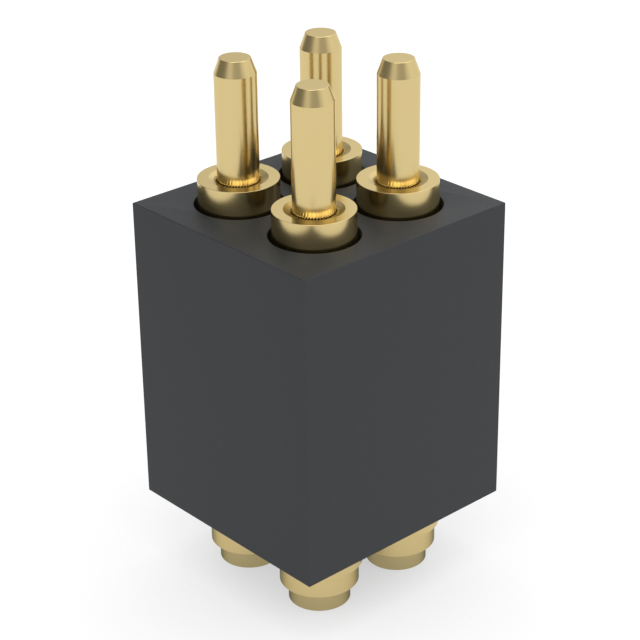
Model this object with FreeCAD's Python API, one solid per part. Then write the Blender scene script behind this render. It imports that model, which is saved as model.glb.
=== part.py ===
import FreeCAD, Part
import math
import os

from FreeCAD import Vector

# Four-way spring-loaded connector: a moulded block with two by two press-fitted contacts.
# Millimetres. +Z runs from the tails to the contact tips, X is the block's longer side.
# The origin is centred under the block, in the plane of the four tail ends.

# Block and contact grid
housing_width = 6.096
housing_depth = 5.842
housing_height = 7.57
pitch_x = 2.54
pitch_y = 2.54

# Barrel, turned in one piece: tail, foot and shank below, a thinner neck above
tail_diameter = 1.47
tail_length = 0.51
foot_diameter = 1.88
foot_length = 0.54
barrel_diameter = 2.076
shank_standoff = 0.73
press_interference = 0.005
neck_diameter = 1.88
neck_relief = 1.0
neck_projection = 0.61

# Rolled lip that keeps the plunger in, with a shallow dish round its mouth
dish_diameter = 1.36
dish_depth = 0.05
lip_length = 0.3
mouth_clearance = 0.042

# Plunger: tapered tip, shaft, guide head under the lip, and a spigot for the spring
shaft_diameter = 0.966
shaft_projection = 2.82
tip_diameter = 0.71
tip_taper_length = 0.35
head_diameter = 1.27
head_length = 2.8
head_chamfer = 0.06
head_clearance = 0.04
stop_clearance = 0.02
stroke = 2.29
spigot_diameter = 0.7
spigot_length = 0.5
spigot_chamfer = 0.1

# Helical spring with closed ends. Its wire is drawn with flat sides, of the round wire's area.
wire_diameter = 0.115
wire_sides = 6
steps_per_turn = 16
coil_diameter = 0.98
active_turns = 5.5
closed_turns = 0.75
coil_gap = 0.005
spring_pressed_length = 1.6
spring_clearance = 0.02
# Share of the wire's radius that is left under its centre line where the ends are ground flat
ground_share = 0.4

# Drilled floor of the barrel's bore
drill_point_angle = 118.0

# Heights that follow from the sizes
foot_base = tail_length
shank_base = foot_base + foot_length
housing_base = shank_base + shank_standoff
housing_top = housing_base + housing_height
neck_base = housing_top - neck_relief
barrel_top = housing_top + neck_projection
lip_underside = barrel_top - dish_depth - lip_length
head_top = lip_underside - stop_clearance
head_base = head_top - head_length
spring_top = head_base - spring_clearance
spring_base = spring_top - stroke - spring_pressed_length
tip_height = barrel_top + shaft_projection

# Radii that follow from the fits
mouth_radius = shaft_diameter / 2 + mouth_clearance
bore_radius = head_diameter / 2 + head_clearance
hole_radius = barrel_diameter / 2 - press_interference
side_angle = 2 * math.pi / wire_sides
wire_radius = wire_diameter / 2 * math.sqrt(side_angle / math.sin(side_angle))
spring_outer_radius = coil_diameter / 2 + wire_radius

# The spring's last coil rests on the drilled cone, so the cone is placed under that coil's outer edge
drill_slope = 1 / math.tan(math.radians(drill_point_angle / 2))
floor_rim = spring_base - spring_clearance + (bore_radius - spring_outer_radius) * drill_slope
floor_centre = floor_rim - bore_radius * drill_slope

sides = {"left": -1, "right": 1}
rows = {"front": -1, "back": 1}


def turned(profile):
    """Solid of revolution about Z, from (radius, height) points that start and end on the axis."""
    points = [Vector(radius, 0, height) for radius, height in profile]
    face = Part.Face(Part.makePolygon(points + points[:1]))
    return face.revolve(Vector(0, 0, 0), Vector(0, 0, 1), 360)


def make_housing(places):
    """Block with one straight press-fit hole for each contact."""
    corner = Vector(-housing_width / 2, -housing_depth / 2, housing_base)
    block = Part.makeBox(housing_width, housing_depth, housing_height, corner)
    holes = [
        Part.makeCylinder(hole_radius, housing_height, Vector(x, y, housing_base))
        for x, y in places
    ]
    return block.cut(Part.makeCompound(holes))


def make_barrel():
    """Stepped barrel with its rolled lip, dished mouth and drilled blind bore."""
    return turned([
        (0, 0),
        (tail_diameter / 2, 0),
        (tail_diameter / 2, foot_base),
        (foot_diameter / 2, foot_base),
        (foot_diameter / 2, shank_base),
        (barrel_diameter / 2, shank_base),
        (barrel_diameter / 2, neck_base),
        (neck_diameter / 2, neck_base),
        (neck_diameter / 2, barrel_top),
        (dish_diameter / 2, barrel_top),
        (mouth_radius, barrel_top - dish_depth),
        (mouth_radius, lip_underside),
        (bore_radius, lip_underside),
        (bore_radius, floor_rim),
        (0, floor_centre),
    ])


def make_plunger():
    """Plunger at rest, its head against the underside of the barrel's lip."""
    spigot_end = head_base - spigot_length
    return turned([
        (0, spigot_end),
        (spigot_diameter / 2 - spigot_chamfer, spigot_end),
        (spigot_diameter / 2, spigot_end + spigot_chamfer),
        (spigot_diameter / 2, head_base),
        (head_diameter / 2 - head_chamfer, head_base),
        (head_diameter / 2, head_base + head_chamfer),
        (head_diameter / 2, head_top),
        (shaft_diameter / 2, head_top),
        (shaft_diameter / 2, tip_height - tip_taper_length),
        (tip_diameter / 2, tip_height),
        (0, tip_height),
    ])


def wire_section(turn, height):
    """Outline of the wire where the coil has made this many turns and its centre is at this height."""
    out = Vector(math.cos(2 * math.pi * turn), math.sin(2 * math.pi * turn), 0)
    points = []
    for side in range(wire_sides):
        angle = side_angle * (side + 0.5)
        radius = coil_diameter / 2 + wire_radius * math.cos(angle)
        points.append(out * radius + Vector(0, 0, height + wire_radius * math.sin(angle)))
    return Part.makePolygon(points + points[:1])


def make_spring():
    """Spring at rest length: closed coils at both ends, open coils between, ends ground flat."""
    closed_pitch = 2 * wire_radius + coil_gap
    ground = wire_radius * ground_share
    open_length = spring_top - spring_base - 2 * (ground + closed_turns * closed_pitch)
    turn = 0
    height = spring_base + ground
    sections = [wire_section(turn, height)]
    for pitch, turns in [
        (closed_pitch, closed_turns),
        (open_length / active_turns, active_turns),
        (closed_pitch, closed_turns),
    ]:
        steps = math.ceil(turns * steps_per_turn)
        for step in range(steps):
            turn += turns / steps
            height += pitch * turns / steps
            sections.append(wire_section(turn, height))
    coil = Part.makeLoft(sections, True, True)
    length = spring_top - spring_base
    return coil.common(Part.makeCylinder(coil_diameter, length, Vector(0, 0, spring_base))).Solids[0]


def write(name, shape, x=0, y=0):
    """One STEP file for one piece, moved to its place in the grid."""
    placed = shape.copy()
    placed.translate(Vector(x, y, 0))
    placed.exportStep(os.path.join("parts", name + ".step"))


def main():
    os.makedirs("parts", exist_ok=True)
    places = {
        row + "_" + side: (sides[side] * pitch_x / 2, rows[row] * pitch_y / 2)
        for row in rows
        for side in sides
    }
    write("housing", make_housing(places.values()))
    contact = {"barrel": make_barrel(), "plunger": make_plunger(), "spring": make_spring()}
    for place, (x, y) in places.items():
        for piece, shape in contact.items():
            write(piece + "_" + place, shape, x, y)


main()
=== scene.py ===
import math

import bmesh
import bpy
from mathutils import Matrix, Vector


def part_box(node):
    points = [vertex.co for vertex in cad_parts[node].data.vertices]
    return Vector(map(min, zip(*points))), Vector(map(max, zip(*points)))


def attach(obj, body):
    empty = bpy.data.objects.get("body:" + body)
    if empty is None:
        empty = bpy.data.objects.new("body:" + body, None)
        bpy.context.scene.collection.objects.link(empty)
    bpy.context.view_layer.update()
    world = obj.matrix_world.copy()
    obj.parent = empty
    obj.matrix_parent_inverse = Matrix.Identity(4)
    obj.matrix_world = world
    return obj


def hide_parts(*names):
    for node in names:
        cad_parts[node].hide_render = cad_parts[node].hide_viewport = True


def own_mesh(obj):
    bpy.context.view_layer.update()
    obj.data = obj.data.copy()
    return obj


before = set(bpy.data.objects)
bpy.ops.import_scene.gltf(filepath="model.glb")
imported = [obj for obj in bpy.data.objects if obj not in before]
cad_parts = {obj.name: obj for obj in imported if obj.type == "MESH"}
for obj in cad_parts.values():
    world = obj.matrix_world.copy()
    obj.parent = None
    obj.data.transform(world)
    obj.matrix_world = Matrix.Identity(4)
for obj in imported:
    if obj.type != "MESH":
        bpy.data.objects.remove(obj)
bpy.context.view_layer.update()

# The scene is in metres. The pieces' dictionaries give sizes, and heights above the floor, in millimetres
mm = 0.001
# The four contacts by place, such as front_left, with the middle of each one's barrel
places = {
    name.removeprefix("barrel_"): sum(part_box(name), Vector()) / 2
    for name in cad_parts
    if name.startswith("barrel_")
}


# Shared helpers

def linearColour(hexColour):
    channels = [int(hexColour[i:i + 2], 16) / 255 for i in (1, 3, 5)]
    return [c / 12.92 if c <= 0.04045 else ((c + 0.055) / 1.055) ** 2.4 for c in channels] + [1]


def addNode(tree, kind, settings=None, inputs=None):
    # An input is a value, or the socket of another node that gets linked to it
    node = tree.nodes.new(kind)
    for key, value in (settings or {}).items():
        setattr(node, key, value)
    for socket, value in (inputs or {}).items():
        if isinstance(value, bpy.types.NodeSocket):
            tree.links.new(value, node.inputs[socket])
        else:
            node.inputs[socket].default_value = value
    return node


def newMaterial(name):
    material = bpy.data.materials.new(name)
    material.use_nodes = True
    tree = material.node_tree
    tree.nodes.clear()
    return material, tree


def addObject(name, data):
    added = bpy.data.objects.new(name, data)
    bpy.context.scene.collection.objects.link(added)
    return added


def newPiece(mesh, material, body, node):
    # The piece moves with the body and stands for the CAD node
    piece = addObject(mesh.name, mesh)
    mesh.materials.append(material)
    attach(piece, body)
    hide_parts(node)
    return piece


# Materials

nylon = {
    "colour": "#2a2c2e",
    "speckColour": "#2e3032",
    "grainMm": 0.06,            # moulded texture: about 0.02 on a real block, coarser here to show
    "grainHeightMm": 0.0016,
    "fibreMm": 0.18,            # clumps of glass fibres just under the skin
    "roughness": 0.5,
    "roughnessSpread": 0.04,
    "ior": 1.5,
    "specularLevel": 0.22,
}


def nylonMaterial():
    # Glass-filled nylon, injection moulded: near black and matte, with a grain too fine to see as bumps
    material, tree = newMaterial("glassFilledNylonMoulded")
    place = addNode(tree, "ShaderNodeTexCoord").outputs["Object"]
    grain = addNode(tree, "ShaderNodeTexNoise", None, {
        "Vector": place, "Scale": 1 / (nylon["grainMm"] * mm), "Detail": 3.0,
    })
    fibre = addNode(tree, "ShaderNodeTexNoise", None, {
        "Vector": place, "Scale": 1 / (nylon["fibreMm"] * mm), "Detail": 4.0, "Roughness": 0.6,
    })
    tint = addNode(tree, "ShaderNodeMix", {"data_type": "RGBA"}, {
        "Factor": fibre.outputs["Fac"],
        "A": linearColour(nylon["colour"]),
        "B": linearColour(nylon["speckColour"]),
    })
    rough = addNode(tree, "ShaderNodeMapRange", None, {
        "Value": grain.outputs["Fac"],
        "To Min": nylon["roughness"] - nylon["roughnessSpread"],
        "To Max": nylon["roughness"] + nylon["roughnessSpread"],
    })
    bump = addNode(tree, "ShaderNodeBump", None, {
        "Height": grain.outputs["Fac"], "Distance": nylon["grainHeightMm"] * mm, "Strength": 1.0,
    })
    shader = addNode(tree, "ShaderNodeBsdfPrincipled", None, {
        "Base Color": tint.outputs["Result"],
        "Roughness": rough.outputs["Result"],
        "IOR": nylon["ior"],
        "Specular IOR Level": nylon["specularLevel"],
        "Normal": bump.outputs["Normal"],
    })
    addNode(tree, "ShaderNodeOutputMaterial", None, {"Surface": shader.outputs["BSDF"]})
    return material


gold = {
    "colour": "#d1bc87",
    "deepColour": "#cfba84",
    "cloudMm": 1.2,             # slow change of tone in the plating
    "toolMarkMm": 0.03,         # turning marks: about 0.01 apart on a real pin, coarser here to show
    "toolMarkStretch": 50,      # how much longer a mark is round the part than wide along it
    "toolMarkHeightMm": 0.00002,
    "roughness": 0.21,
    "roughnessSpread": 0.02,
    "edgeTint": "#f4f0e1",      # keeps the colour of the reflections at a glancing angle
    "footEdgeShade": "#959ca4",  # painted shade: the foot and tail darken at that angle along their silhouettes
    "tailShadeColour": "#b8a87a",    # the solder tail, close to the floor, is painted duller and greyer as shade
    "boreShadeColour": "#241a0a",    # painted shade down inside the bore, and on the shaft where a notch lets the bore show
    "boreRoughness": 0.45,
}


def goldMaterial():
    # Gold plating over turned brass: pale and glossy, with faint turning marks round the axis
    material, tree = newMaterial("goldPlatedTurnedBrass")
    place = addNode(tree, "ShaderNodeTexCoord").outputs["Object"]
    cloud = addNode(tree, "ShaderNodeTexNoise", None, {
        "Vector": place, "Scale": 1 / (gold["cloudMm"] * mm), "Detail": 2.0,
    })
    squeeze = 1 / gold["toolMarkStretch"]
    stretched = addNode(tree, "ShaderNodeVectorMath", {"operation": "MULTIPLY"}, {
        0: place, 1: (squeeze, squeeze, 1),
    })
    marks = addNode(tree, "ShaderNodeTexNoise", None, {
        "Vector": stretched.outputs["Vector"], "Scale": 1 / (gold["toolMarkMm"] * mm), "Detail": 1.0,
    })
    tint = addNode(tree, "ShaderNodeMix", {"data_type": "RGBA"}, {
        "Factor": cloud.outputs["Fac"],
        "A": linearColour(gold["colour"]),
        "B": linearColour(gold["deepColour"]),
    })
    height = addNode(tree, "ShaderNodeSeparateXYZ", None, {"Vector": place}).outputs["Z"]
    # Painted shade: below the tail's top the gold is coloured duller and greyer
    tailTop = barrel["tailLength"] * mm
    onTail = addNode(tree, "ShaderNodeMath", {"operation": "LESS_THAN"}, {0: height, 1: tailTop})
    shadedTail = addNode(tree, "ShaderNodeMix", {"data_type": "RGBA"}, {
        "Factor": onTail.outputs["Value"],
        "A": tint.outputs["Result"],
        "B": linearColour(gold["tailShadeColour"]),
    })
    # Painted shade: below the foot's top the plating reflects darker at a glancing angle
    footTop = (barrel["tailLength"] + barrel["footLength"]) * mm
    onFoot = addNode(tree, "ShaderNodeMath", {"operation": "LESS_THAN"}, {0: height, 1: footTop})
    edgeTint = addNode(tree, "ShaderNodeMix", {"data_type": "RGBA"}, {
        "Factor": onFoot.outputs["Value"],
        "A": linearColour(gold["edgeTint"]),
        "B": linearColour(gold["footEdgeShade"]),
    })
    # Painted shade: the plating is coloured near black in the bore and on the shaft behind the notches
    paintedShade = addNode(tree, "ShaderNodeAttribute", {"attribute_name": "paintedShade"}).outputs["Fac"]
    shadedBase = addNode(tree, "ShaderNodeMix", {"data_type": "RGBA"}, {
        "Factor": paintedShade,
        "A": shadedTail.outputs["Result"],
        "B": linearColour(gold["boreShadeColour"]),
    })
    rough = addNode(tree, "ShaderNodeMapRange", None, {
        "Value": marks.outputs["Fac"],
        "To Min": gold["roughness"] - gold["roughnessSpread"],
        "To Max": gold["roughness"] + gold["roughnessSpread"],
    })
    boreRough = addNode(tree, "ShaderNodeMix", None, {
        "Factor": paintedShade, "A": rough.outputs["Result"], "B": gold["boreRoughness"],
    })
    bump = addNode(tree, "ShaderNodeBump", None, {
        "Height": marks.outputs["Fac"], "Distance": gold["toolMarkHeightMm"] * mm, "Strength": 1.0,
    })
    shader = addNode(tree, "ShaderNodeBsdfPrincipled", None, {
        "Base Color": shadedBase.outputs["Result"],
        "Metallic": 1.0,
        "Specular Tint": edgeTint.outputs["Result"],
        "Roughness": boreRough.outputs["Result"],
        "Normal": bump.outputs["Normal"],
    })
    addNode(tree, "ShaderNodeOutputMaterial", None, {"Surface": shader.outputs["BSDF"]})
    return material


springSteel = {
    "colour": "#c9c8c4",
    "drawMarkMm": 0.01,         # die lines: about 0.003 apart on real wire, coarser here to show
    "roughness": 0.28,
    "roughnessSpread": 0.06,
}


def springSteelMaterial():
    # Stainless spring wire, cold drawn: bright, with fine die lines that soften its highlights
    material, tree = newMaterial("stainlessSpringWireDrawn")
    place = addNode(tree, "ShaderNodeTexCoord").outputs["Object"]
    lines = addNode(tree, "ShaderNodeTexNoise", None, {
        "Vector": place, "Scale": 1 / (springSteel["drawMarkMm"] * mm), "Detail": 2.0,
    })
    rough = addNode(tree, "ShaderNodeMapRange", None, {
        "Value": lines.outputs["Fac"],
        "To Min": springSteel["roughness"] - springSteel["roughnessSpread"],
        "To Max": springSteel["roughness"] + springSteel["roughnessSpread"],
    })
    shader = addNode(tree, "ShaderNodeBsdfPrincipled", None, {
        "Base Color": linearColour(springSteel["colour"]),
        "Metallic": 1.0,
        "Roughness": rough.outputs["Result"],
    })
    addNode(tree, "ShaderNodeOutputMaterial", None, {"Surface": shader.outputs["BSDF"]})
    return material


# Turned meshes

turning = {
    "segments": 336,            # points in each ring, a whole number of them for each tooth
    "arcSteps": 3,              # steps in the small arc at each corner
    "leastTurn": 0.001,         # radians that a corner on a straight run is taken to turn
    "leastReachMm": 0.0001,     # shortest piece of an edge that an arc takes
    "edgeShare": 0.45,          # largest share of an edge that an arc takes
    "axisMm": 1e-9,             # a point nearer to the axis than this lies on it
    "waveSharpness": 2.8,       # 2 is an even wave, and more makes the valleys narrower than the crests
}


def outwardNormal(a, b):
    along = (b - a).normalized()
    return Vector((along.y, -along.x))


def roundedProfile(corners, edgeRadius):
    # Points (radius, height) and their normals along a turned outline, with a small arc at each corner
    steps, share = turning["arcSteps"], turning["edgeShare"]
    outline = [(corners[0], outwardNormal(corners[0], corners[1]))]
    for before, point, after in zip(corners, corners[1:], corners[2:]):
        n1, n2 = outwardNormal(before, point), outwardNormal(point, after)
        turn = n1.angle_signed(n2, 0)
        if abs(turn) < turning["leastTurn"]:
            turn = turning["leastTurn"]
        side = math.copysign(1, turn)
        reach = max(edgeRadius * math.tan(abs(turn) / 2), turning["leastReachMm"])
        reach = min(reach, share * (point - before).length, share * (after - point).length)
        radius = reach / math.tan(abs(turn) / 2)
        start = point + (before - point).normalized() * reach
        centre = start + n1 * radius * side
        for k in range(steps + 1):
            normal = Matrix.Rotation(-turn * k / steps, 2) @ n1
            outline.append((centre - normal * radius * side, normal))
    outline.append((corners[-1], outwardNormal(corners[-2], corners[-1])))
    return outline


def turnedMesh(name, corners, centre, edgeRadius, teeth, isPaintedShade):
    # Corners are (radius, height) or (radius, height, move). A wave with one crest and one valley for each
    # tooth runs round the axis: it moves such a corner out by move at a crest and in by as much in a valley.
    # isPaintedShade says where the plating is painted dark as shade, at a point of the outline, for its
    # place on the wave
    segments = turning["segments"]
    repeat = segments // teeth
    waves = [1 - 2 * math.sin(math.pi * k / repeat) ** turning["waveSharpness"] for k in range(repeat)]
    outlines = []
    for wave in waves:
        moved = [Vector((radius + sum(move) * wave, height)) for radius, height, *move in corners]
        outlines.append(roundedProfile(moved, edgeRadius))
    step = 2 * math.pi / segments
    verts, normals, paintedShade, rings = [], [], [], []
    for i, (axisPoint, axisNormal) in enumerate(outlines[0]):
        if axisPoint.x < turning["axisMm"]:
            rings.append([len(verts)])
            verts.append((centre.x, centre.y, axisPoint.y * mm))
            normals.append((0, 0, math.copysign(1, axisNormal.y)))
            paintedShade.append(isPaintedShade(axisPoint, waves[0]))
            continue
        ring = []
        for k in range(segments):
            point, normal = outlines[k % repeat][i]
            change = (outlines[(k + 1) % repeat][i][0] - outlines[(k - 1) % repeat][i][0]) / (2 * step)
            out = Vector((math.cos(k * step), math.sin(k * step), 0))
            along = Vector((-out.y, out.x, 0))
            facing = out * normal.x + Vector((0, 0, normal.y)) - along * (normal.dot(change) / point.x)
            ring.append(len(verts))
            verts.append((centre.x + point.x * out.x * mm, centre.y + point.x * out.y * mm, point.y * mm))
            normals.append(tuple(facing.normalized()))
            paintedShade.append(isPaintedShade(point, waves[k % repeat]))
        rings.append(ring)
    faces = []
    for low, high in zip(rings, rings[1:]):
        for k in range(segments):
            n = (k + 1) % segments
            if len(low) == 1:
                faces.append((low[0], high[n], high[k]))
            elif len(high) == 1:
                faces.append((low[k], low[n], high[0]))
            else:
                faces.append((low[k], low[n], high[n], high[k]))
    mesh = bpy.data.meshes.new(name)
    mesh.from_pydata(verts, [], faces)
    mesh.shade_smooth()
    mesh.normals_split_custom_set_from_vertices(normals)
    # Where the plating is painted dark as shade, for the material to read
    shares = mesh.attributes.new("paintedShade", "FLOAT", "POINT")
    shares.data.foreach_set("value", [float(t) for t in paintedShade])
    return mesh


# Barrels

barrel = {
    "tailDiameter": 1.47, "tailLength": 0.51,
    "footDiameter": 1.88, "footLength": 0.54,
    "shankDiameter": 2.076,
    "neckDiameter": 1.88, "neckBase": 8.35,
    "dishDiameter": 1.36, "dishDepth": 0.05,
    "mouthDiameter": 1.05, "lipLength": 0.3,
    "boreDiameter": 1.35, "boreFloor": 2.933, "boreCentre": 2.528,
    "edgeRadius": 0.007,
    # Fine teeth reach in from the rolled mouth and centre the shaft, and notches between them reach out.
    # The root is how far the top of the teeth lies below the floor of the dish
    "teeth": 42, "toothReach": 0.036, "notchDepth": 0.034, "toothRoot": 0.006, "toothHeight": 0.06,
}


def makeBarrels(material):
    for place, centre in places.items():
        node = "barrel_" + place
        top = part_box(node)[1].z / mm
        b = barrel
        foot = b["tailLength"]
        shank = foot + b["footLength"]
        floor = top - b["dishDepth"]
        mouth = b["mouthDiameter"] / 2
        root = b["toothRoot"]
        slope = b["dishDepth"] / (b["dishDiameter"] / 2 - mouth)
        notch = mouth + b["notchDepth"]
        # The wave's crests are the notches and its valleys are the teeth
        toothWave = (b["toothReach"] + b["notchDepth"]) / 2
        corners = [
            (0, 0),
            (b["tailDiameter"] / 2, 0),
            (b["tailDiameter"] / 2, foot),
            (b["footDiameter"] / 2, foot),
            (b["footDiameter"] / 2, shank),
            (b["shankDiameter"] / 2, shank),
            (b["shankDiameter"] / 2, b["neckBase"]),
            (b["neckDiameter"] / 2, b["neckBase"]),
            (b["neckDiameter"] / 2, top),
            (b["dishDiameter"] / 2, top),
            (notch + root, floor + (b["notchDepth"] + root) * slope),
            (notch - toothWave, floor - root, toothWave),
            (notch - toothWave, floor - b["toothHeight"], toothWave),
            (mouth, floor - b["toothHeight"] - b["toothReach"]),
            (mouth, floor - b["lipLength"]),
            (b["boreDiameter"] / 2, floor - b["lipLength"]),
            (b["boreDiameter"] / 2, b["boreFloor"]),
            (0, b["boreCentre"]),
        ]

        def isInBore(point, wave):
            # The painted shade reaches further up in the notches than on the teeth
            start = floor - (root if wave > 0 else b["toothReach"])
            return point.x <= b["boreDiameter"] / 2 and b["boreCentre"] <= point.y < start

        mesh = turnedMesh("turnedBarrel_" + place, corners, centre, b["edgeRadius"], b["teeth"], isInBore)
        newPiece(mesh, material, "connector", node)


# Plungers

plunger = {
    "tipDiameter": 0.71, "taperLength": 0.35,
    "shaftDiameter": 0.966,
    "headDiameter": 1.27, "headLength": 2.8, "headTop": 9.59, "headChamfer": 0.06,
    "spigotDiameter": 0.7, "spigotLength": 0.5, "spigotChamfer": 0.1,
    "edgeRadius": 0.012,
    # Fine marks that the mouth's teeth leave round the shaft, and that run out above it
    "fluteDepth": 0.005, "fluteStart": 9.93, "fluteBase": 9.99, "fluteEnd": 10.08,
    # Below shadeTop the shaft is painted dark as shade where a notch lets the bore show, which is where
    # the wave is above notchLevel. The margin takes in the whole of the corner there
    "shadeTop": 9.905, "shadeMargin": 0.001, "notchLevel": 0.5,
}


def makePlungers(material):
    for place, centre in places.items():
        node = "plunger_" + place
        p = plunger
        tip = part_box(node)[1].z / mm
        base = p["headTop"] - p["headLength"]
        end = base - p["spigotLength"]
        corners = [
            (0, end),
            (p["spigotDiameter"] / 2 - p["spigotChamfer"], end),
            (p["spigotDiameter"] / 2, end + p["spigotChamfer"]),
            (p["spigotDiameter"] / 2, base),
            (p["headDiameter"] / 2 - p["headChamfer"], base),
            (p["headDiameter"] / 2, base + p["headChamfer"]),
            (p["headDiameter"] / 2, p["headTop"]),
            (p["shaftDiameter"] / 2, p["headTop"]),
            (p["shaftDiameter"] / 2, p["shadeTop"]),
            (p["shaftDiameter"] / 2, p["fluteStart"]),
            ((p["shaftDiameter"] - p["fluteDepth"]) / 2, p["fluteBase"], p["fluteDepth"] / 2),
            (p["shaftDiameter"] / 2, p["fluteEnd"]),
            (p["shaftDiameter"] / 2, tip - p["taperLength"]),
            (p["tipDiameter"] / 2, tip),
            (0, tip),
        ]

        def isBehindNotch(point, wave):
            return p["headTop"] < point.y < p["shadeTop"] + p["shadeMargin"] and wave > p["notchLevel"]

        mesh = turnedMesh(
            "turnedPlunger_" + place, corners, centre, p["edgeRadius"], barrel["teeth"], isBehindNotch,
        )
        newPiece(mesh, material, node, node)


# Springs

spring = {
    "wireDiameter": 0.115, "coilDiameter": 0.98,
    "activeTurns": 5.5, "closedTurns": 0.75, "coilGap": 0.01,
    "stepsPerTurn": 40, "wireSteps": 12,
    "pressedShare": 1.6 / 3.89,     # length with the plunger pressed, over length at rest
}


def springHeights(length):
    # Height of the wire's centre after each step: closed coils, open coils, closed coils
    s = spring
    closedPitch = s["wireDiameter"] + s["coilGap"]
    openRise = length - s["wireDiameter"] - 2 * s["closedTurns"] * closedPitch
    spans = [
        (s["closedTurns"], closedPitch),
        (s["activeTurns"], openRise / s["activeTurns"]),
        (s["closedTurns"], closedPitch),
    ]
    heights = [s["wireDiameter"] / 2]
    for turns, pitch in spans:
        for _ in range(round(turns * s["stepsPerTurn"])):
            heights.append(heights[-1] + pitch / s["stepsPerTurn"])
    return heights


def makeSprings(material):
    s = spring
    for place, centre in places.items():
        node = "spring_" + place
        low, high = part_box(node)
        heights = springHeights((high.z - low.z) / mm)
        verts, faces = [], []
        for k, height in enumerate(heights):
            angle = 2 * math.pi * k / s["stepsPerTurn"]
            for j in range(s["wireSteps"]):
                around = 2 * math.pi * j / s["wireSteps"]
                radius = s["coilDiameter"] / 2 + s["wireDiameter"] / 2 * math.cos(around)
                rise = height + s["wireDiameter"] / 2 * math.sin(around)
                verts.append((
                    centre.x + radius * math.cos(angle) * mm,
                    centre.y + radius * math.sin(angle) * mm,
                    low.z + rise * mm,
                ))
        n = s["wireSteps"]
        for k in range(len(heights) - 1):
            for j in range(n):
                a, b = k * n + j, k * n + (j + 1) % n
                faces.append((a, a + n, b + n, b))
        faces.append(tuple(range(n)))
        faces.append(tuple(reversed(range((len(heights) - 1) * n, len(heights) * n))))
        mesh = bpy.data.meshes.new("springCoil_" + place)
        mesh.from_pydata(verts, [], faces)
        mesh.shade_smooth()
        piece = newPiece(mesh, material, "connector", node)
        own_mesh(piece)


# Housing

housing = {
    "holeDiameter": 2.066, "holePoints": 96,
    "edgeRadius": 0.02, "edgeSteps": 2,
    "mergeMm": 0.0001,          # points nearer to each other than this become one
    "sharpDegrees": 50,         # an edge that turns more than this stays crisp
}


def addOutline(curve, points):
    outline = curve.splines.new("POLY")
    outline.points.add(len(points) - 1)
    outline.use_cyclic_u = True
    for target, (x, y) in zip(outline.points, points):
        target.co = (x, y, 0, 1)


def makeHousing(material):
    # A filled outline with four round holes, extruded and edge-rounded like the moulding
    low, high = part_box("housing")
    h = housing
    curve = bpy.data.curves.new("mouldedOutline", "CURVE")
    curve.dimensions = "2D"
    curve.fill_mode = "BOTH"
    edge = h["edgeRadius"] * mm
    curve.extrude = (high.z - low.z) / 2 - edge
    curve.bevel_depth = edge
    curve.bevel_resolution = h["edgeSteps"]
    curve.offset = -edge
    addOutline(curve, [(low.x, low.y), (high.x, low.y), (high.x, high.y), (low.x, high.y)])
    radius = h["holeDiameter"] / 2 * mm
    # The holes run the other way round from the outside, so the offset makes room for the edge on both
    angles = [-2 * math.pi * k / h["holePoints"] for k in range(h["holePoints"])]
    for centre in places.values():
        addOutline(curve, [
            (centre.x + radius * math.cos(angle), centre.y + radius * math.sin(angle)) for angle in angles
        ])
    carrier = addObject("mouldedOutline", curve)
    bpy.context.view_layer.update()
    mesh = bpy.data.meshes.new_from_object(carrier.evaluated_get(bpy.context.evaluated_depsgraph_get()))
    bpy.data.objects.remove(carrier)
    mesh.name = "mouldedHousing"
    mesh.transform(Matrix.Translation((0, 0, (low.z + high.z) / 2)))
    mesh.materials.clear()
    bm = bmesh.new()
    bm.from_mesh(mesh)
    bmesh.ops.remove_doubles(bm, verts=bm.verts, dist=h["mergeMm"] * mm)
    bm.to_mesh(mesh)
    bm.free()
    mesh.shade_smooth()
    mesh.set_sharp_from_angle(angle=math.radians(h["sharpDegrees"]))
    piece = newPiece(mesh, material, "connector", "housing")
    piece.modifiers.new("evenShading", "WEIGHTED_NORMAL").keep_sharp = True


# Studio

studio = {
    "floorSizeMm": 1500,
    "floorColour": "#3c3c3c",
    "floorRoughness": 0.9,
    "floorGlow": 1.035,
    "shadeColour": "#c0c0c0",   # colour of the glow where the part stands close over the floor: a painted shadow
    "shadeReachMm": 60,
    "shadeSamples": 8,
    # Brightness of the plain backdrop by height: sine of the angle above the floor, brightness
    "backdrop": [
        (0.0, 0.88), (0.3, 0.98), (0.4, 1.2), (0.57, 1.25), (0.8, 1.35), (0.93, 1.9), (1.0, 2.2),
    ],
    "curveTop": 3.0,            # brightness at the top of the node's curve, which runs from 0 to 1
    # Soft panels add light and dark cards take it away. In degrees: round from the camera to its right, as
    # it looks at the part, up from the floor, and the radii out to which a panel is full and where it ends
    "panels": [
        {"name": "overheadFront", "round": -12, "up": 62, "full": 8, "ends": 27, "adds": 3.2},
        {"name": "overheadRight", "round": 90, "up": 60, "full": 8, "ends": 27, "adds": 2.8},
        {"name": "right", "round": 100, "up": 5, "full": 22, "ends": 60, "adds": 0.44},
        {"name": "backRight", "round": 152, "up": 28, "full": 8, "ends": 40, "adds": 0.3},
        {"name": "leftCard", "round": -86, "up": 11, "full": 18, "ends": 50, "adds": -0.58},
        {"name": "cameraCard", "round": 12, "up": 18, "full": 8, "ends": 33, "adds": -0.42},
        {"name": "highLeftCard", "round": -108, "up": 55, "full": 15, "ends": 42, "adds": -0.85},
        {"name": "backLowCard", "round": -160, "up": 8, "full": 8, "ends": 26, "adds": -0.25},
        {"name": "backLeftCard", "round": -152, "up": 30, "full": 8, "ends": 24, "adds": -0.6},
    ],
}


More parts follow.
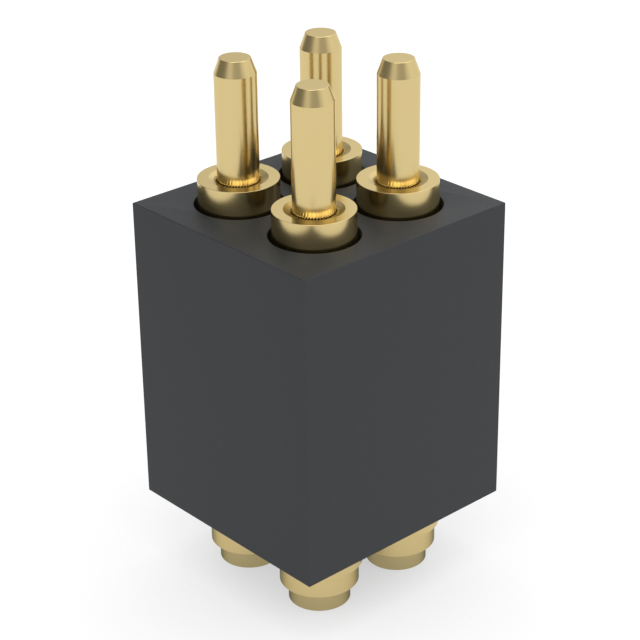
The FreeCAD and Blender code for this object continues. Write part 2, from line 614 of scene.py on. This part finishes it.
def makeFloor():
    # Opal acrylic lit from below, as on a product light table: white. Its glow dims by ambient occlusion
    # near the part, which paints a soft shadow
    material, tree = newMaterial("floorGlowPaintedShadow")
    openness = addNode(tree, "ShaderNodeAmbientOcclusion", {"samples": studio["shadeSamples"]}, {
        "Distance": studio["shadeReachMm"] * mm,
    })
    # Painted shadow: the glow dims towards shadeColour where the part stands close
    glow = addNode(tree, "ShaderNodeMix", {"data_type": "RGBA"}, {
        "Factor": openness.outputs["AO"], "A": linearColour(studio["shadeColour"]), "B": (1, 1, 1, 1),
    })
    shader = addNode(tree, "ShaderNodeBsdfPrincipled", None, {
        "Base Color": linearColour(studio["floorColour"]),
        "Roughness": studio["floorRoughness"],
        "Specular IOR Level": 0.0,
        "Emission Color": glow.outputs["Result"],
        "Emission Strength": studio["floorGlow"],
    })
    addNode(tree, "ShaderNodeOutputMaterial", None, {"Surface": shader.outputs["BSDF"]})
    half = studio["floorSizeMm"] * mm / 2
    corners = [(-half, -half, 0), (half, -half, 0), (half, half, 0), (-half, half, 0)]
    mesh = bpy.data.meshes.new("floor")
    mesh.from_pydata(corners, [], [(0, 1, 2, 3)])
    mesh.materials.append(material)
    floor = addObject("floor", mesh)


def skyDirection(roundDegrees, upDegrees):
    # The camera stands opposite to the way it looks, and its right is anticlockwise from there
    turn = math.radians(camera["headingDegrees"] + 180 + roundDegrees)
    up = math.radians(upDegrees)
    return (math.cos(up) * math.cos(turn), math.cos(up) * math.sin(turn), math.sin(up))


def makeSky():
    world = bpy.data.worlds.new("softStudio")
    bpy.context.scene.world = world
    world.use_nodes = True
    tree = world.node_tree
    tree.nodes.clear()
    direction = addNode(tree, "ShaderNodeTexCoord").outputs["Generated"]
    height = addNode(tree, "ShaderNodeSeparateXYZ", None, {"Vector": direction}).outputs["Z"]
    curve = addNode(tree, "ShaderNodeFloatCurve", None, {"Value": height})
    points = curve.mapping.curves[0].points
    curveTop = studio["curveTop"]
    for k, (sine, brightness) in enumerate(studio["backdrop"]):
        if k < 2:   # the node's curve starts with two points
            points[k].location = (sine, brightness / curveTop)
        else:
            points.new(sine, brightness / curveTop)
    curve.mapping.update()
    total = addNode(tree, "ShaderNodeMath", {"operation": "MULTIPLY"}, {
        0: curve.outputs["Value"], 1: curveTop,
    })
    for panel in studio["panels"]:
        centre = skyDirection(panel["round"], panel["up"])
        nearness = addNode(tree, "ShaderNodeVectorMath", {"operation": "DOT_PRODUCT"}, {
            0: direction, 1: centre,
        })
        settings = {"interpolation_type": "SMOOTHSTEP", "label": panel["name"]}
        light = addNode(tree, "ShaderNodeMapRange", settings, {
            "Value": nearness.outputs["Value"],
            "From Min": math.cos(math.radians(panel["ends"])),
            "From Max": math.cos(math.radians(panel["full"])),
            "To Max": panel["adds"],
        })
        total = addNode(tree, "ShaderNodeMath", {"operation": "ADD"}, {
            0: total.outputs["Value"], 1: light.outputs["Result"],
        })
    background = addNode(tree, "ShaderNodeBackground", None, {"Strength": total.outputs["Value"]})
    addNode(tree, "ShaderNodeOutputWorld", None, {"Surface": background.outputs["Background"]})


camera = {
    "positionMm": (-27.565, -30.690, 26.492),
    "headingDegrees": 48.071,   # from +X towards +Y
    "downDegrees": 25.978,
    "rollDegrees": -0.758,
    "lensMm": 110.84,
    "sensorMm": 36.0,
    "nearMm": 1,
    "farMm": 2000,
}


def makeCamera():
    heading = math.radians(camera["headingDegrees"])
    down = math.radians(camera["downDegrees"])
    roll = math.radians(camera["rollDegrees"])
    ahead = Vector((
        math.cos(down) * math.cos(heading), math.cos(down) * math.sin(heading), -math.sin(down),
    ))
    right = Vector((math.sin(heading), -math.cos(heading), 0))
    below = ahead.cross(right)
    turnedRight = right * math.cos(roll) - below * math.sin(roll)
    turnedBelow = right * math.sin(roll) + below * math.cos(roll)
    data = bpy.data.cameras.new("photoCamera")
    data.lens = camera["lensMm"]
    data.sensor_width = camera["sensorMm"]
    data.clip_start = camera["nearMm"] * mm
    data.clip_end = camera["farMm"] * mm
    viewer = addObject("photoCamera", data)
    axes = Matrix((turnedRight, -turnedBelow, -ahead)).transposed()
    viewer.matrix_world = Matrix.Translation(Vector(camera["positionMm"]) * mm) @ axes.to_4x4()
    bpy.context.scene.camera = viewer


makeCamera()
makeFloor()
makeSky()
bpy.context.scene.view_settings.view_transform = "Standard"
print("studio ready")
makeHousing(nylonMaterial())
print("housing ready")
goldPlating = goldMaterial()
makeBarrels(goldPlating)
print("barrels ready")
makePlungers(goldPlating)
print("plungers ready")
makeSprings(springSteelMaterial())
print("springs ready")
